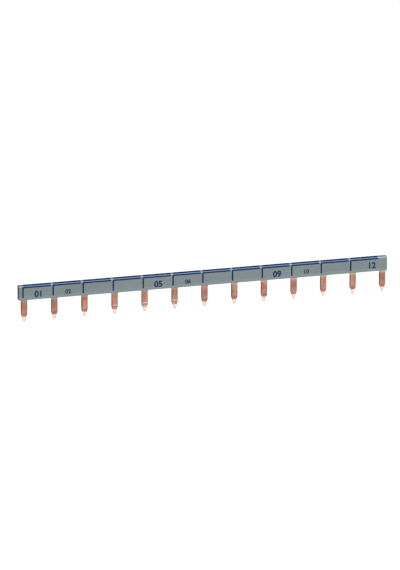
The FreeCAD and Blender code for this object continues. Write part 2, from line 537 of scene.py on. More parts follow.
def hand_over(
    piece: bpy.types.Object, material: bpy.types.Material, node: Node | None = None
) -> None:
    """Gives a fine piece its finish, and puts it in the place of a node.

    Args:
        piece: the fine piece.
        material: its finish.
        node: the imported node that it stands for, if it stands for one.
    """
    dress(piece, material)
    if node is not None:
        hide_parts(node.value)
    LOG.info("made %s, %d faces", piece.name, len(piece.data.polygons))


@dataclass(frozen=True)
class InsulatingProfile:
    """The extruded channel: rounded above, open between two lips below, with two ribs that hold the strip.

    Attributes:
        low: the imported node's lowest corner.
        high: its highest corner.
        strip: the copper strip's thickness.
        wall: the side walls' thickness.
        roof: the top wall's thickness.
        lead_in: how far the mouth is widened at the lips' feet.
        lip: how high the lips' faces reach.
        ramp: the slanted stretch between a wall and a lip or rib.
        rib_foot: where the ribs begin above the underside.
        rib: the height of the ribs' faces.
        front_radius: of the top edge in front.
        rear_radius: of the top edge behind.
        lip_radius: of the lips' outer edges.
        crease_radius: of every corner inside.
        worn_edge: how far the sawn ends' rims are worn down.
        station: about how far apart the sections stand.
    """

    low: Vector
    high: Vector
    strip: float = 1.5 * MM
    wall: float = 0.7 * MM
    roof: float = 1.0 * MM
    lead_in: float = 0.15 * MM
    lip: float = 0.8 * MM
    ramp: float = 0.15 * MM
    rib_foot: float = 6.0 * MM
    rib: float = 0.5 * MM
    front_radius: float = 0.8 * MM
    rear_radius: float = 0.3 * MM
    lip_radius: float = 0.25 * MM
    crease_radius: float = 0.05 * MM
    worn_edge: float = 0.04 * MM
    station: float = 10.0 * MM

    def section(self) -> Path:
        """Draws the section.

        Returns:
            Its outline in Y and Z, with the plastic on its left all the way round.
        """
        half, top = self.high.y, self.high.z
        grip, chamber = self.strip / 2, half - self.wall
        rib_face = self.rib_foot + self.ramp
        rib_top = rib_face + self.rib
        inner = [
            (grip + self.lead_in, 0.0), (grip, self.lead_in), (grip, self.lip),
            (chamber, self.lip + self.ramp), (chamber, self.rib_foot), (grip, rib_face),
            (grip, rib_top), (chamber, rib_top + self.ramp), (chamber, top - self.roof),
        ]
        outer = [(half, 0.0), (half, top), (-half, top), (-half, 0.0)]
        left = [(-across, up) for across, up in inner]
        small = [self.crease_radius] * len(inner)
        rounds = [self.lip_radius, self.rear_radius, self.front_radius, self.lip_radius]
        return rounded(outer + left + inner[::-1], rounds + small + small, closed=True)

    def piece(self) -> bpy.types.Object:
        """Carries the section along X, drawn in by a hair at the two sawn ends.

        A point of the surface is (x, point - facing * inset). The inset is worn_edge at both ends, else 0.

        Returns:
            The profile.
        """
        section = self.section()
        count = round((self.high.x - self.low.x) / self.station)
        middle = np.linspace(self.low.x + self.worn_edge, self.high.x - self.worn_edge, count)
        along = np.array([self.low.x, *middle, self.high.x])
        inset = np.array([self.worn_edge, *np.zeros(count), self.worn_edge])
        flat = section.points[None] - section.facing[None] * inset[:, None, None]
        across = np.broadcast_to(along[:, None, None], (*flat.shape[:2], 1))
        shell = Shell()
        shell.tube(np.concatenate([across, flat], axis=2))
        return shell.piece("grey_profile")


@dataclass(frozen=True)
class CopperComb:
    """The stamped comb: one strip and a row of prongs with coined edges and a stepped, bevelled nose.

    Attributes:
        row: where the prongs are.
        low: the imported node's lowest corner.
        high: its highest corner.
        foot: the height of the strip's lower edge.
        width: a prong's width.
        collar_width: its width under the strip.
        collar_end: the height at which the collar begins to narrow.
        shank_start: the height at which it has narrowed.
        collar_radius: of the two corners between them.
        shoulder: the height at which the flanks turn inwards.
        shoulder_radius: of that corner.
        step_start: the height at which the thickness steps in.
        step_end: the height at which it has stepped in.
        step_depth: how deep the step is on each face.
        step_radius: of its two corners.
        root: the height at which the tongue begins.
        root_width: the tongue's width there.
        root_radius: of the corner on each flank there.
        root_crease: of the corner on each face there.
        tip_width: the tongue's width at its end.
        tip_radius: of the end's corners, seen from the front.
        tip_thickness: the tongue's thickness at its end.
        tip_edge: the radius of the end's corners, seen from the side.
        coined_radius: of a prong's long edges.
        sheared_radius: of the collar's edges.
        tongue_radius: of the tongue's long edges at its end.
        turns: how many pieces a long edge's quarter turn is divided into.
        fullest: the most that an edge's radius takes of half the width or thickness.
    """

    row: ProngRow
    low: Vector
    high: Vector
    foot: float = 0.5 * MM
    width: float = 3.65 * MM
    collar_width: float = 4.25 * MM
    collar_end: float = -0.35 * MM
    shank_start: float = -0.8 * MM
    collar_radius: float = 0.5 * MM
    shoulder: float = -8.95 * MM
    shoulder_radius: float = 0.8 * MM
    step_start: float = -7.45 * MM
    step_end: float = -7.75 * MM
    step_depth: float = 0.14 * MM
    step_radius: float = 0.18 * MM
    root: float = -9.95 * MM
    root_width: float = 2.5 * MM
    root_radius: float = 0.4 * MM
    root_crease: float = 0.5 * MM
    tip_width: float = 1.25 * MM
    tip_radius: float = 0.6 * MM
    tip_thickness: float = 0.5 * MM
    tip_edge: float = 0.12 * MM
    coined_radius: float = 0.35 * MM
    sheared_radius: float = 0.05 * MM
    tongue_radius: float = 0.23 * MM
    turns: int = 6
    fullest: float = 0.95

    def _flank(self) -> np.ndarray:
        """Draws a prong's right half from the front.

        Returns:
            Half the width at each height, from the strip down to the middle of the tip's flat end.
        """
        corners = [
            (self.collar_width / 2, self.foot), (self.collar_width / 2, self.collar_end),
            (self.width / 2, self.shank_start), (self.width / 2, self.shoulder),
            (self.root_width / 2, self.root), (self.tip_width / 2, self.low.z), (0.0, self.low.z),
        ]
        collar, shoulder = self.collar_radius, self.shoulder_radius
        radii = [0.0, collar, collar, shoulder, self.root_radius, self.tip_radius, 0.0]
        return rounded(corners, radii, closed=False).points

    def _side(self) -> np.ndarray:
        """Draws a prong's rear half from the side.

        Returns:
            Half the thickness at each height, from the strip down to the middle of the tip's flat end.
        """
        full, stepped = self.high.y, self.high.y - self.step_depth
        corners = [
            (full, self.foot), (full, self.step_start), (stepped, self.step_end), (stepped, self.root),
            (self.tip_thickness / 2, self.low.z), (0.0, self.low.z),
        ]
        radii = [0.0, self.step_radius, self.step_radius, self.root_crease, self.tip_edge, 0.0]
        return rounded(corners, radii, closed=False).points

    def _edge_radius(self, heights: np.ndarray, most: np.ndarray) -> np.ndarray:
        """The radius of the long edges.

        Args:
            heights: the heights of the sections, from the strip down.
            most: the most that the radius can be at each of them.

        Returns:
            The radii: sheared at the collar, coined on the body, and the tongue's own at its end.
        """
        sheared, coined = self.sheared_radius, self.coined_radius
        marks = [self.foot, self.foot - sheared, self.collar_end, self.shank_start, self.root, self.low.z]
        rounds = [0.0, sheared, sheared, coined, coined, self.tongue_radius]
        return np.minimum(np.interp(-heights, -np.array(marks), rounds), most)

    def rings(self) -> np.ndarray:
        """One prong's sections about X = 0, from the strip down.

        Each is a rectangle with rounded corners. A corner's centre lies half the width less the radius, and
        half the thickness less the radius, away from the middle. Its points lie the radius away from its
        centre, all at the section's own height. One more point on each side of a corner keeps the flat faces
        flat where they are shaded. The outlines' last points only cross the flat end and give no section.

        Returns:
            The sections, as rings, points and three coordinates.
        """
        flank, side = self._flank(), self._side()
        heights = np.unique(np.concatenate([flank[:-3, 1], side[:-3, 1], [self.foot, self.low.z]]))[::-1]
        half_width = np.interp(-heights, -flank[:-2, 1], flank[:-2, 0])
        half_thickness = np.interp(-heights, -side[:-2, 1], side[:-2, 0])
        most = np.minimum(half_width, half_thickness) * self.fullest
        radius = self._edge_radius(heights, most)[:, None]
        quarter = np.linspace(0.0, np.pi / 2, self.turns + 1)[[0, *range(self.turns + 1), -1]]
        angle = np.concatenate([quarter + start for start in np.arange(4) * np.pi / 2])
        beyond = np.tile([-1.0, *np.zeros(self.turns + 1), 1.0], 4) * np.minimum(radius, MARGIN)
        side_x, side_y = np.repeat([1, -1, -1, 1], quarter.size), np.repeat([1, 1, -1, -1], quarter.size)
        x = side_x * (half_width[:, None] - radius) + radius * np.cos(angle) - beyond * np.sin(angle)
        y = side_y * (half_thickness[:, None] - radius) + radius * np.sin(angle) + beyond * np.cos(angle)
        return np.stack([x, y, np.broadcast_to(heights[:, None], x.shape)], axis=-1)

    def _strip(self, shell: Shell, prongs: np.ndarray) -> None:
        """Adds the strip, whose lower edge passes round the first section of every prong.

        Args:
            shell: the surface that it joins.
            prongs: the prongs' middles.
        """
        left, right, top, face = self.low.x, self.high.x, self.high.z, self.high.y
        reach = self.collar_width / 2
        starts, ends = np.append(left, prongs + reach), np.append(prongs - reach, right)
        stops = np.column_stack([starts, ends]).ravel()
        for side in (-face, face):
            lower = np.column_stack([stops, np.full((stops.size, 2), (side, self.foot))])
            shell.cap(np.vstack([lower, [(right, side, top), (left, side, top)]]))
        for start, end in zip(starts, ends):
            shell.cap(self._level(start, end, self.foot))
        shell.cap(self._level(left, right, top))
        for end in (left, right):
            corners = [(-face, self.foot), (face, self.foot), (face, top), (-face, top)]
            shell.cap(np.array([(end, *corner) for corner in corners]))

    def _level(self, start: float, end: float, height: float) -> np.ndarray:
        """A level face of the strip, as deep as the strip is thick.

        Args:
            start: its lowest X.
            end: its highest X.
            height: where it lies.

        Returns:
            Its corners in order.
        """
        face = self.high.y
        corners = [(start, -face), (end, -face), (end, face), (start, face)]
        return np.array([(*corner, height) for corner in corners])

    def piece(self) -> bpy.types.Object:
        """Joins the strip and all the prongs.

        Returns:
            The comb, as one closed surface.
        """
        shell = Shell()
        prongs = self.row.middles()
        rings = self.rings()
        for middle in prongs:
            placed = rings + np.array([middle, 0.0, 0.0])
            shell.grid(placed, wraps=True)
            shell.cap(placed[-1])
        self._strip(shell, prongs)
        return shell.piece("stamped_comb")


@dataclass(frozen=True)
class PrintedMarks:
    """The blue print: for each module a stripe that wraps over the rounded edge, and a tick down the front.

    Attributes:
        row: where the prongs are.
        profile: the profile that is printed on.
        low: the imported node's lowest corner.
        pitch: from one module's marks to the next, a little less than from prong to prong.
        ink: how far the print stands out.
        sunk: how far its underside lies inside the plastic.
        tick_width: a tick's width.
        tick_foot: the height of its lower end.
        stripe_length: a stripe's length on the front face.
        below_rounding: how far a stripe reaches down the front face.
        before_rear: how far a stripe stays away from the rear edge's rounding.
        slant: how much further on a stripe begins for each length up from its foot, round the edge.
        rows: how many points a stripe has round the edge.
        columns: how many it has along the bar.
    """

    row: ProngRow
    profile: InsulatingProfile
    low: Vector
    pitch: float = 17.73 * MM
    ink: float = 0.03 * MM
    sunk: float = 0.01 * MM
    tick_width: float = 0.85 * MM
    tick_foot: float = 1.4 * MM
    stripe_length: float = 16.85 * MM
    below_rounding: float = 0.55 * MM
    before_rear: float = 0.2 * MM
    slant: float = 0.27
    rows: int = 44
    columns: int = 18

    def wrapped(self, x: np.ndarray, up: np.ndarray, raised: float) -> np.ndarray:
        """Places of the print on the profile.

        Up the front face the distance is a height. Past the face's end it turns into an angle round the edge,
        which is distance / radius, and past a quarter turn into a depth across the flat top.

        Args:
            x: places along the bar.
            up: distances from the stripe's foot, measured on the surface.
            raised: how far outside the surface the places lie.

        Returns:
            The places, three coordinates each.
        """
        radius, front, top = self.profile.front_radius, self.profile.low.y, self.profile.high.z
        bend = up - self.below_rounding
        angle = np.clip(bend / radius, 0.0, np.pi / 2)
        reach = radius + raised
        y = front + radius - reach * np.cos(angle) + np.maximum(bend - radius * np.pi / 2, 0.0)
        z = top - radius + reach * np.sin(angle) + np.minimum(bend, 0.0)
        return np.stack(np.broadcast_arrays(x, y, z), axis=-1)

    @property
    def stripe_height(self) -> float:
        """A stripe's own height.

        Returns:
            The way from its foot to its rear edge, measured on the surface.
        """
        profile = self.profile
        flat = profile.high.y - profile.low.y - profile.front_radius - profile.rear_radius - self.before_rear
        return self.below_rounding + profile.front_radius * np.pi / 2 + flat

    @property
    def stripe_foot(self) -> float:
        """The height of the stripe's foot."""
        return self.profile.high.z - self.profile.front_radius - self.below_rounding

    def starts(self) -> np.ndarray:
        """Where each module's marks begin along the bar."""
        return self.low.x + self.pitch * np.arange(self.row.count - 1)

    def piece(self) -> bpy.types.Object:
        """Lays all the stripes and ticks on the plastic, as films.

        A stripe's points are wrapped(first + (end - first) * along, up), where first is start + slant * up.

        Returns:
            The marks.
        """
        shell = Shell()
        up = np.linspace(0.0, self.stripe_height, self.rows)[None, :]
        along = np.linspace(0.0, 1.0, self.columns)[:, None]
        for start in self.starts():
            first = start + self.slant * up
            x = first + (start + self.stripe_length - first) * along
            shell.film(self.wrapped(x, up, self.ink), self.wrapped(x, up, -self.sunk))
            tick_x = start + np.array([[0.0], [self.tick_width]])
            tick_up = np.array([[self.tick_foot - self.stripe_foot, 0.0]])
            shell.film(self.wrapped(tick_x, tick_up, self.ink), self.wrapped(tick_x, tick_up, -self.sunk))
        return shell.piece("module_marks")


class Weight(Enum):
    """How heavy a printed number is: its height, and how much its strokes are widened."""

    BOLD = (3.6 * MM, 0.15 * MM)
    LIGHT = (2.5 * MM, 0.09 * MM)


@dataclass(frozen=True)
class ModuleNumber:
    """A plain number that counts the modules.

    Attributes:
        module: which module it stands in, and what it says.
        weight: how heavy it is.
        across: where its middle lies in the cell, from 0 at the cell's tick to 1 at the next.
        rise: the height of its middle.
    """

    module: int
    weight: Weight
    across: float = 0.5
    rise: float = 3.2 * MM


@dataclass(frozen=True)
class ModuleNumbers:
    """The plain module numbers, printed in the same ink as the marks.

    Attributes:
        marks: the marks that they stand between.
        numbers: the numbers that are printed.
        curve_steps: how finely their outlines are divided.
    """

    marks: PrintedMarks
    numbers: tuple[ModuleNumber, ...] = (
        ModuleNumber(1, Weight.BOLD), ModuleNumber(2, Weight.LIGHT),
        ModuleNumber(5, Weight.BOLD), ModuleNumber(6, Weight.LIGHT),
        ModuleNumber(9, Weight.BOLD), ModuleNumber(10, Weight.LIGHT),
        ModuleNumber(12, Weight.BOLD, across=0.74, rise=3.7 * MM),
    )
    curve_steps: int = 8

    def _drawn(self, number: ModuleNumber) -> tuple[np.ndarray, list[list[int]]]:
        """Draws a number as text and takes its mesh.

        Args:
            number: the number to draw.

        Returns:
            Its points and faces, centred, with the reading side towards +Z.
        """
        height, widened = number.weight.value
        curve = bpy.data.curves.new("number", "FONT")
        curve.body = f"{number.module:02d}"
        curve.size = height * TEXT_SIZE
        curve.offset = widened
        curve.extrude = (self.marks.ink + self.marks.sunk) / 2
        curve.resolution_u = self.curve_steps
        text = bpy.data.objects.new("number", curve)
        bpy.context.scene.collection.objects.link(text)
        mesh = bpy.data.meshes.new_from_object(text.evaluated_get(bpy.context.evaluated_depsgraph_get()))
        points = np.empty(len(mesh.vertices) * 3)
        mesh.vertices.foreach_get("co", points)
        faces = [list(face.vertices) for face in mesh.polygons]
        bpy.data.objects.remove(text)
        bpy.data.curves.remove(curve)
        bpy.data.meshes.remove(mesh)
        points = points.reshape(-1, 3)
        return points - (points.min(axis=0) + points.max(axis=0)) / 2, faces

    def piece(self) -> bpy.types.Object:
        """Stands all the numbers up on the front face: X stays, the height goes to Z and the front to -Y.

        Returns:
            The numbers.
        """
        shell = Shell()
        starts = self.marks.starts()
        face = self.marks.profile.low.y - (self.marks.ink - self.marks.sunk) / 2
        for number in self.numbers:
            points, faces = self._drawn(number)
            middle = starts[number.module - 1] + self.marks.tick_width / 2 + number.across * self.marks.pitch
            place = np.array([middle, face, number.rise])
            shell.solid(points[:, [0, 2, 1]] * np.array([1.0, -1.0, 1.0]) + place, faces)
        return shell.piece("module_numbers")


@dataclass(frozen=True)
class PaintedHighlightLine:
    """A painted highlight: the pale line along the profile's rounded edge.

    Attributes:
        rise: its lower border, in shares of the edge's radius above the front face's end.
        fall: its upper border, in shares of the radius behind the front face.
    """

    rise: Band
    fall: Band

    def mask(self, place: Place, profile: InsulatingProfile) -> Value:
        """The line's mask.

        Args:
            place: where the surface is.
            profile: the profile whose edge it is.

        Returns:
            1 on the line, and 0 on the front face and on the top.
        """
        radius = profile.front_radius
        above = (place.z - (profile.high.z - radius)) / radius
        behind = (place.y - profile.low.y) / radius
        return self.rise.mask(above) * self.fall.mask(behind)


# The skin of a cut end, by the distance from the end.
CUT_END = Band(0.06 * MM, 0.02 * MM)


@dataclass(frozen=True)
class GreyPlastic:
    """Extruded grey PVC: satin, with faint draw lines along the bar, a fine grain, dull sawn ends painted
    dark as shade, a top painted darker as shade and a painted highlight along the rounded edge.

    Attributes:
        colour: the plastic's own grey.
        pale: where its clouds and draw lines are palest.
        edge: the painted highlight along the rounded edge.
        upper: on the flat top, painted a little darker as shade.
        lower: a little paler, along the lower edge.
        sawn: on the sawn ends, painted dark as shade.
        roughness: of the drawn faces.
        roughness_spread: how much the draw lines change it.
        sawn_roughness: of the sawn ends.
        gloss: how much the faces mirror.
        grain_height: how deep the draw lines and the grain are together.
        draw_lines: the lines that the die leaves along the bar.
        clouds: the soft changes of tone.
        grain: the fine grain.
        tone_shares: how much the draw lines and the clouds give to the tone.
        height_shares: how much the draw lines and the grain give to the height.
        tones: which part of the tone goes from the plain to the pale grey.
        highlight_line: where the painted highlight runs.
        top: the border of the flat top's painted shade, by the distance below it.
        foot: the border of the paler lower edge, by height.
    """

    colour: Colour = (0.217, 0.264, 0.268, 1.0)
    pale: Colour = (0.239, 0.287, 0.292, 1.0)
    edge: Colour = (0.500, 0.590, 0.650, 1.0)
    upper: Colour = (0.176, 0.209, 0.218, 1.0)
    lower: Colour = (0.253, 0.306, 0.311, 1.0)
    sawn: Colour = (0.064, 0.081, 0.079, 1.0)
    roughness: float = 0.24
    roughness_spread: float = 0.08
    sawn_roughness: float = 0.85
    gloss: float = 0.08
    grain_height: float = 0.0012 * MM
    draw_lines: Pattern = Pattern((9.0, 2200.0, 2200.0), detail=3.0)
    clouds: Pattern = Pattern((60.0, 160.0, 160.0))
    grain: Pattern = Pattern((5200.0, 5200.0, 5200.0), detail=1.0)
    tone_shares: tuple[float, float] = (0.45, 0.55)
    height_shares: tuple[float, float] = (0.6, 0.4)
    tones: Band = Band(0.3, 0.7)
    highlight_line: PaintedHighlightLine = PaintedHighlightLine(rise=Band(0.08, 0.30), fall=Band(0.40, 0.18))
    top: Band = Band(0.12 * MM, 0.01 * MM)
    foot: Band = Band(2.4 * MM, 1.5 * MM)

    def material(self, profile: InsulatingProfile) -> bpy.types.Material:
        """The profile's material.

        Args:
            profile: the profile that is dressed, for where its edges and sawn ends are.

        Returns:
            The material.
        """
        material, graph = new_material("grey_plastic")
        place = graph.places()
        patterns = (self.draw_lines, self.clouds, self.grain)
        draw_lines, clouds, grain = (graph.noise(place, pattern) for pattern in patterns)
        tone = draw_lines * self.tone_shares[0] + clouds * self.tone_shares[1]
        height = draw_lines * self.height_shares[0] + grain * self.height_shares[1]
        drawn = graph.mix(self.tones.mask(tone), self.colour, self.pale)
        # painted shade: the flat top is painted a little darker
        drawn = graph.mix(self.top.mask(profile.high.z - place.z), drawn, self.upper)
        # a little paler towards the lower edge
        drawn = graph.mix(self.foot.mask(place.z), drawn, self.lower)
        # painted highlight: the pale line along the rounded edge
        drawn = graph.mix(self.highlight_line.mask(place, profile), drawn, self.edge)
        # painted shade: the sawn ends are painted dark; the same mask makes them rough
        sawn = CUT_END.mask(place.x - profile.low.x) + CUT_END.mask(profile.high.x - place.x)
        satin = self.roughness + (draw_lines - 0.5) * self.roughness_spread
        graph.surface(
            Base_Color=graph.mix(sawn, drawn, self.sawn),
            Roughness=satin + sawn * (self.sawn_roughness - self.roughness),
            Specular_IOR_Level=self.gloss,
            Normal=graph.bump(height, self.grain_height),
        )
        return material


@dataclass(frozen=True)
class Copper:
    """Rolled copper, stamped and coined: brushed faces, sheared edges painted dark as shade, and a nose with
    burnish painted bright as a highlight.

    Attributes:
        face: the darkest of the brushed face.
        worn: the brightest of it.
        sheared: on the flanks and the strip's cut ends, painted dark as shade.
        burnished_highlight: on the tongues, with burnish painted bright as a highlight, and in the creases,
            as a painted highlight.
        tip: at the tongues' ends, painted a little darker than the highlight, as shade.
        pink_copper: round the tongues' rims, as painted shade where the highlight ends, and in a brighter
            band above the step.
        collar_reflection: on the collars, painted as the grey profile's reflection.
        collar_shade: on the collars at the left, painted darker as the profile's shade.
        glancing: the tint at a glancing angle.
        roughness: of all the copper.
        roughness_spread: how much the scratches change it.
        scratch_depth: how deep they are.
        scratches: fine scratches along the prongs.
        streaks: broader ones.
        clouds: soft changes from prong to prong.
        wear_shares: how much each of these three gives to the wear.
        tones: which part of the wear goes from the dark to the bright copper.
        flank: the border of a flank, by the distance inside it.
        edge: the shade along both flanks, by the same distance.
        edge_shade: how dark it is.
        drawn: the shade along the left flank alone, by the distance from it.
        drawn_shade: how dark it is.
        below: the border under a height.
        collar: the border of the collars' painted tone, by the height above the shank's start.
        collar_shade_fade: the prongs between which the left collars' painted shade gives way to the painted
            reflection.
        tongue: the border of a tongue, by the depth below its root.
        upper_crease: the painted highlight at the step, by the height above or below its middle.
        lower_crease: the painted highlight under the shoulder.
        lower_crease_drop: how far under the shoulder's height that one lies.
        creased_from: the prongs between which the creases begin.
        creased_to: the prongs between which they end.
        used: the upper border of the brighter band above the step, by the height above the step's end.
        used_foot: its lower border.
        blunt: the border of the tip's colour, by the height above the end.
        rim: the border of a tongue's rim, by the distance inside it.
        rim_shift: how far both sides of the rim lie to the left, so the painted shade is heavier on the right
            rim.
        tip_rim: the border of the rim at the end, by the height above it.
    """

    face: Colour = (0.330, 0.146, 0.097, 1.0)
    worn: Colour = (0.525, 0.262, 0.183, 1.0)
    sheared: Colour = (0.105, 0.055, 0.040, 1.0)
    burnished_highlight: Colour = (0.89, 0.70, 0.62, 1.0)
    tip: Colour = (0.73, 0.64, 0.60, 1.0)
    pink_copper: Colour = (0.66, 0.39, 0.30, 1.0)
    collar_reflection: Colour = (0.51, 0.37, 0.30, 1.0)
    collar_shade: Colour = (0.36, 0.265, 0.22, 1.0)
    glancing: Colour = (0.50, 0.27, 0.20, 1.0)
    roughness: float = 0.34
    roughness_spread: float = 0.2
    scratch_depth: float = 0.006 * MM
    scratches: Pattern = Pattern((3800.0, 3800.0, 130.0), detail=3.0)
    streaks: Pattern = Pattern((1150.0, 1150.0, 95.0), detail=1.0)
    clouds: Pattern = Pattern((75.0, 420.0, 150.0), detail=3.0)
    wear_shares: tuple[float, float, float] = (0.25, 0.35, 0.40)
    tones: Band = Band(0.40, 0.60)
    flank: Band = Band(0.10 * MM, 0.02 * MM)
    edge: Band = Band(0.55 * MM, 0.0)
    edge_shade: float = 0.2
    drawn: Band = Band(0.65 * MM, 0.15 * MM)
    drawn_shade: float = 0.3
    below: Band = Band(0.0, 0.3 * MM)
    collar: Band = Band(-0.9 * MM, 0.2 * MM)
    collar_shade_fade: Band = Band(6.2, 7.4)
    tongue: Band = Band(-0.25 * MM, 0.25 * MM)
    upper_crease: Band = Band(0.42 * MM, 0.0, strength=0.95)
    lower_crease: Band = Band(0.36 * MM, 0.0, strength=0.6)
    lower_crease_drop: float = 0.22 * MM
    creased_from: Band = Band(2.2, 3.2)
    creased_to: Band = Band(6.2, 5.2)
    used: Band = Band(3.5 * MM, 0.2 * MM, strength=0.3)
    used_foot: Band = Band(-0.7 * MM, 0.0)
    blunt: Band = Band(1.25 * MM, 0.3 * MM)
    rim: Band = Band(0.34 * MM, 0.02 * MM)
    rim_shift: float = 0.1 * MM
    tip_rim: Band = Band(0.6 * MM, 0.1 * MM, strength=0.4)

    def _body(self, place: Place, comb: CopperComb, scratches: Value) -> Value:
        """The colour of the strip and of the prongs above their tongues.

        Args:
            place: where the surface is.
            comb: the comb that is dressed.
            scratches: the fine scratches.

        Returns:
            The colour: painted shade along the flanks, painted reflection and shade at the collars, a
                brighter band above the step and painted highlights in the creases.
        """
        graph = scratches.graph
        streaks, clouds = graph.noise(place, self.streaks), graph.noise(place, self.clouds)
        fine, broad, soft = self.wear_shares
        wear = scratches * fine + streaks * broad + clouds * soft
        colour = graph.mix(self.tones.mask(wear), self.face, self.worn)

        number, sideways = comb.row.number(place.x), comb.row.across(place.x)
        half = comb.width / 2
        inside = half - abs(sideways)
        edge, drawn = self.edge.mask(inside), self.drawn.mask(sideways + half)
        below_collar = self.below.mask(comb.shank_start - place.z)
        # painted shade along both flanks, heavier along the left one
        shade = edge * self.edge_shade + drawn * self.drawn_shade
        colour = graph.mix(shade * below_collar, colour, self.sheared)
        # painted shade on the flanks themselves
        colour = graph.mix(self.flank.mask(inside) * below_collar, colour, self.sheared)
        # painted shade on the strip's cut ends
        colour = graph.mix(CUT_END.mask(comb.high.x - abs(place.x)), colour, self.sheared)

        # painted reflection of the grey profile on the collars, with painted shade on the left ones
        collar = self.collar.mask(place.z - comb.shank_start) * self.below.mask(comb.foot - place.z)
        colour = graph.mix(collar, colour, graph.mix(self.collar_shade_fade.mask(number), self.collar_shade, self.collar_reflection))

        # a brighter band above the step
        above_step = place.z - comb.step_end
        used = self.used.mask(above_step) * self.used_foot.mask(above_step) * (1 - edge) * (1 - drawn)
        colour = graph.mix(used, colour, self.pink_copper)

        # painted highlights at the step and under the shoulder, on the middle prongs
        upper = self.upper_crease.mask(abs(place.z - (comb.step_start + comb.step_end) / 2))
        lower = self.lower_crease.mask(abs(place.z - (comb.shoulder - self.lower_crease_drop)))
        creased = self.creased_from.mask(number) * self.creased_to.mask(number) * (1 - edge)
        return graph.mix((upper + lower) * creased, colour, self.burnished_highlight)

    def _nose(self, place: Place, comb: CopperComb) -> Value:
        """The colour of the tongues: painted bright as a highlight over their burnish, with painted shade at
        the tip and round the rim.

        Args:
            place: where the surface is.
            comb: the comb that is dressed.

        Returns:
            The colour.
        """
        graph = place.z.graph
        above_end = place.z - comb.low.z
        # painted highlight on the tongue, painted a little darker at the tip as shade
        colour = graph.mix(self.blunt.mask(above_end), self.burnished_highlight, self.tip)
        narrowing = (place.z - comb.root) / (comb.low.z - comb.root)
        half = comb.root_width / 2 - narrowing * ((comb.root_width - comb.tip_width) / 2)
        # painted shade round the rim, shifted to lie heavier on the right
        inside = half - abs(comb.row.across(place.x) + self.rim_shift)
        pink_copper = self.rim.mask(inside) + self.tip_rim.mask(above_end)
        return graph.mix(pink_copper, colour, self.pink_copper)

    def material(self, comb: CopperComb) -> bpy.types.Material:
        """The comb's material.

        Args:
            comb: the comb that is dressed, for its prongs' places and heights.

        Returns:
            The material.
        """
        material, graph = new_material("copper")
        place = graph.places()
        scratches = graph.noise(place, self.scratches)
        tongue = self.tongue.mask(comb.root - place.z)
        graph.surface(
            Base_Color=graph.mix(tongue, self._body(place, comb, scratches), self._nose(place, comb)),
            Metallic=1.0,
            Roughness=self.roughness + (scratches - 0.5) * self.roughness_spread,
            Specular_Tint=self.glancing,
            Normal=graph.bump(scratches, self.scratch_depth),
        )
        return material


@dataclass(frozen=True)
class BlueInk:
    """Printed ink: dark blue, matt, a little thinner in places, and painted lighter blue as a highlight where
    it turns over the edge.

    Attributes:
        colour: where the ink lies full.
        thin: where it is thin.
        turned: the painted highlight where the ink turns over the edge.
        roughness: of the ink.
        gloss: how much it mirrors.
        cover: how the ink's thickness varies.
        tones: which part of that goes from full to thin.
        highlight_line: where the painted highlight runs.
    """

    colour: Colour = (0.006, 0.027, 0.098, 1.0)
    thin: Colour = (0.013, 0.042, 0.126, 1.0)
    turned: Colour = (0.230, 0.330, 0.560, 1.0)
    roughness: float = 0.28
    gloss: float = 0.0
    cover: Pattern = Pattern((900.0, 900.0, 900.0), detail=4.0)
    tones: Band = Band(0.45, 0.75)
    highlight_line: PaintedHighlightLine = PaintedHighlightLine(rise=Band(0.175, 0.45), fall=Band(0.46, 0.26))

    def material(self, profile: InsulatingProfile) -> bpy.types.Material:
        """The marking's material.

        Args:
            profile: the profile that it is printed on, for where its rounded edge is.

        Returns:
            The material.
        """
        material, graph = new_material("blue_ink")
        place = graph.places()
        flat = graph.mix(self.tones.mask(graph.noise(place, self.cover)), self.colour, self.thin)
        graph.surface(
            # painted highlight: lighter blue where the ink turns over the rounded edge
            Base_Color=graph.mix(self.highlight_line.mask(place, profile), flat, self.turned),
            Roughness=self.roughness,
            Specular_IOR_Level=self.gloss,
        )
        return material


@dataclass(frozen=True)
class StudioWhite:
    """The floor's white.

    Attributes:
        paint: its colour for the light that it returns.
        seen_paint: the lit part of its colour where it is seen, which keeps the object's shadow.
        glow: the rest of its white where it is seen.
    """

    paint: Colour = (0.78, 0.78, 0.78, 1.0)
    seen_paint: Colour = (0.22, 0.22, 0.22, 1.0)
    glow: float = 0.90

    def material(self) -> bpy.types.Material:
        """The floor's material.

        Returns:
            The material: white where it is seen, and plain pale paint for the light that it returns.
        """
        material, graph = new_material("studio_white")
        lit = graph.node(Shader.DIFFUSE, inputs={"Color": self.paint})
        shadowed = graph.node(Shader.DIFFUSE, inputs={"Color": self.seen_paint})
        white = graph.node(Shader.EMISSION, inputs={"Strength": self.glow})
        shown = graph.node(Shader.ADD_SHADER, inputs={0: shadowed.outputs[0], 1: white.outputs[0]})
        choices = {0: graph.seen(), 1: lit.outputs[0], 2: shown.outputs[0]}
        choice = graph.node(Shader.MIX_SHADER, inputs=choices)
        graph.node(Shader.OUTPUT, inputs={"Surface": choice.outputs[0]})
        return material


@dataclass(frozen=True)
class Busbar:
    """The whole comb busbar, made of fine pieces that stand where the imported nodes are.

    Attributes:
        record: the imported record.
    """

    record: Mapping[str, Any]

    def build(self) -> None:
        """Makes and dresses every piece."""
        row = ProngRow.of(self.record)
        profile = InsulatingProfile(*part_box(Node.PROFILE.value))
        comb = CopperComb(row, *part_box(Node.COMB.value))
        marks = PrintedMarks(row, profile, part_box(Node.MARKING.value)[0])
        ink = BlueInk().material(profile)
        hand_over(profile.piece(), GreyPlastic().material(profile), Node.PROFILE)
        hand_over(comb.piece(), Copper().material(comb), Node.COMB)
        hand_over(marks.piece(), ink, Node.MARKING)
        hand_over(ModuleNumbers(marks).piece(), ink)


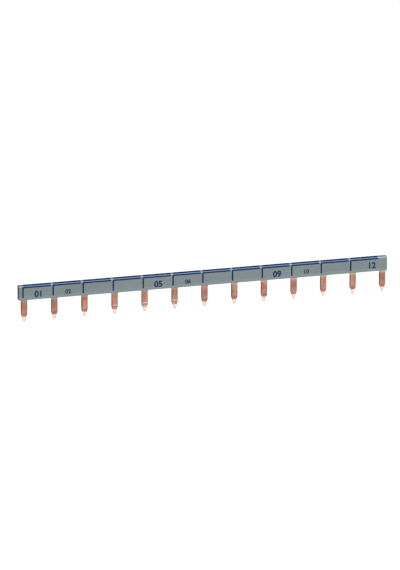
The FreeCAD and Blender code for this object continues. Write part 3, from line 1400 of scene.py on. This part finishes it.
def direction(azimuth: float, elevation: float) -> Vector:
    """The unit vector from the object to a stand.

    Args:
        azimuth: in degrees, 0 in front and negative to the left.
        elevation: above the horizon, in degrees.

    Returns:
        The unit vector.
    """
    turn, rise = math.radians(azimuth), math.radians(elevation)
    return Vector((math.sin(turn) * math.cos(rise), -math.cos(turn) * math.cos(rise), math.sin(rise)))


@dataclass(frozen=True)
class Softbox:
    """A rectangular lamp that looks at the origin.

    Attributes:
        name: the lamp's name.
        azimuth: where it stands round the object, in degrees.
        elevation: how high it stands, in degrees.
        size: its width and height.
        power: in watts.
        distance: from the lamp to the origin.
    """

    name: str
    azimuth: float
    elevation: float
    size: tuple[float, float]
    power: float
    distance: float = 2.6

    def build(self) -> None:
        """Makes the lamp and stands it up."""
        lamp = bpy.data.lights.new(self.name, "AREA")
        lamp.shape = "RECTANGLE"
        lamp.size, lamp.size_y = self.size
        lamp.energy = self.power
        stand = bpy.data.objects.new(self.name, lamp)
        back = direction(self.azimuth, self.elevation)
        stand.location = back * self.distance
        stand.rotation_euler = (-back).to_track_quat("-Z", "Y").to_euler()
        bpy.context.scene.collection.objects.link(stand)


@dataclass(frozen=True)
class Studio:
    """The floor, the lamps, the surrounding light and the camera.

    Attributes:
        floor_drop: from the prongs' tips down to the floor.
        floor_half: half the floor's side.
        fill: the strength of the even light from all round.
        lamps: the lamps.
        azimuth: where the camera stands round the object, in degrees, 0 in front and negative to the left.
        elevation: how far the camera stands above the horizon, in degrees.
        distance: from the camera to the point that it looks at.
        sensor: the width of the camera's sensor, in millimetres.
        reach: how far the camera sees.
        scale: pixels of the photograph a metre, at that distance.
        picture_long_side: the photograph's longer side in pixels.
        aside: how far the middle prong lies right of the picture's middle, in pixels.
        below: how far the profile's front lower edge lies under the picture's middle there, in pixels.
    """

    floor_drop: float = 0.16
    floor_half: float = 8.0
    fill: float = 0.30
    lamps: tuple[Softbox, ...] = (
        Softbox("key_light", azimuth=18.0, elevation=44.0, size=(2.4, 0.7), power=50.0),
        Softbox("rear_light", azimuth=130.0, elevation=12.0, size=(1.5, 1.5), power=45.0),
    )
    azimuth: float = -16.3
    elevation: float = 16.5
    distance: float = 3.64
    sensor: float = 36.0
    reach: float = 60.0
    scale: float = 1748.0
    picture_long_side: float = 570.0
    aside: float = 5.2
    below: float = 0.37

    def build(self) -> None:
        """Makes the stage, the light and the camera."""
        low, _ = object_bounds()
        self._floor(low.z - self.floor_drop)
        self._world()
        for lamp in self.lamps:
            lamp.build()
        self._camera()

    def _floor(self, height: float) -> None:
        """A plane of four corners.

        Args:
            height: the height that it lies at.
        """
        corners = np.array([(-1, -1), (1, -1), (1, 1), (-1, 1)], float) * self.floor_half
        points = np.column_stack([corners, np.full(len(corners), height)])
        mesh = bpy.data.meshes.new("floor")
        mesh.from_pydata(points.tolist(), [], [tuple(range(len(points)))])
        floor = bpy.data.objects.new("floor", mesh)
        bpy.context.scene.collection.objects.link(floor)
        dress(floor, StudioWhite().material())
        floor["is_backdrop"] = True

    def _world(self) -> None:
        """Even light from all round, which is white where it is seen or mirrored."""
        world = bpy.data.worlds.new("surround")
        world.use_nodes = True
        graph = Graph(world.node_tree)
        strength = graph.seen() * (1.0 - self.fill) + self.fill
        light = graph.node(Shader.BACKGROUND, inputs={"Color": WHITE, "Strength": strength})
        graph.node(Shader.WORLD_OUTPUT, inputs={"Surface": light.outputs[0]})
        bpy.context.scene.world = world

    def _camera(self) -> None:
        """The photograph's camera: a long lens, left of the front and above it."""
        lens = bpy.data.cameras.new("camera")
        lens.sensor_width = self.sensor
        lens.lens = self.scale * self.distance * self.sensor / self.picture_long_side
        lens.clip_end = self.reach
        back = direction(self.azimuth, self.elevation)
        turn = (-back).to_track_quat("-Z", "Y")
        right, up = turn @ Vector((1, 0, 0)), turn @ Vector((0, 1, 0))
        low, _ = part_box(Node.PROFILE.value)
        aim = Vector((0.0, low.y, 0.0)) - right * (self.aside / self.scale) + up * (self.below / self.scale)
        camera = bpy.data.objects.new("camera", lens)
        camera.location = aim + back * self.distance
        camera.rotation_mode = "QUATERNION"
        camera.rotation_quaternion = turn
        bpy.context.scene.collection.objects.link(camera)
        bpy.context.scene.camera = camera


def main() -> None:
    """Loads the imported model, makes its fine pieces and sets them in the studio."""
    logging.basicConfig(level=logging.INFO, format="%(name)s: %(message)s")
    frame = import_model()
    Busbar(frame["record"]).build()
    Studio().build()
    bpy.context.scene.view_settings.view_transform = "Standard"


if __name__ == "__main__":
    main()
